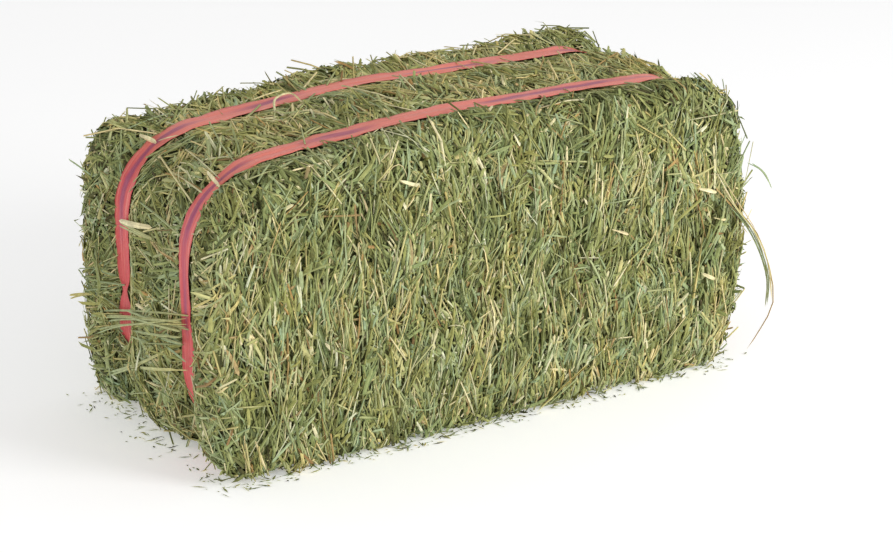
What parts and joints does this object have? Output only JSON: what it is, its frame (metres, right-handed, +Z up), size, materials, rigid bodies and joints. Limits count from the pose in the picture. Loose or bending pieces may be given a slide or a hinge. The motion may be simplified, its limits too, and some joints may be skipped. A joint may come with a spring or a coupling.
{
  "type": "square hay bale",
  "caption": "Rectangular bale of pressed green hay flakes, held by flat lengthwise straps, resting on its long side.",
  "frame": {"origin": "middle of the base, on the surface the bale rests on", "axes": "+X along the bale, from the end with the bare straps to the end with the knots; +Y across it, from the front strap to the back strap; +Z up"},
  "size_m": [0.972, 0.45, 0.4801],
  "materials": {
    "hay": "matte dried grass and leaf, green-olive with straw-coloured stems",
    "strap_film": "opened-out polypropylene film, coral to crimson with purple folds, satin"
  },
  "bodies": {
    "root": {"flake_01": "hay", "flake_02": "hay", "flake_03": "hay", "flake_04": "hay", "flake_05": "hay", "flake_06": "hay", "flake_07": "hay", "flake_08": "hay", "flake_09": "hay", "flake_10": "hay", "flake_11": "hay", "flake_12": "hay", "strap_front": "strap_film", "strap_back": "strap_film"}
  },
  "joints": []
}
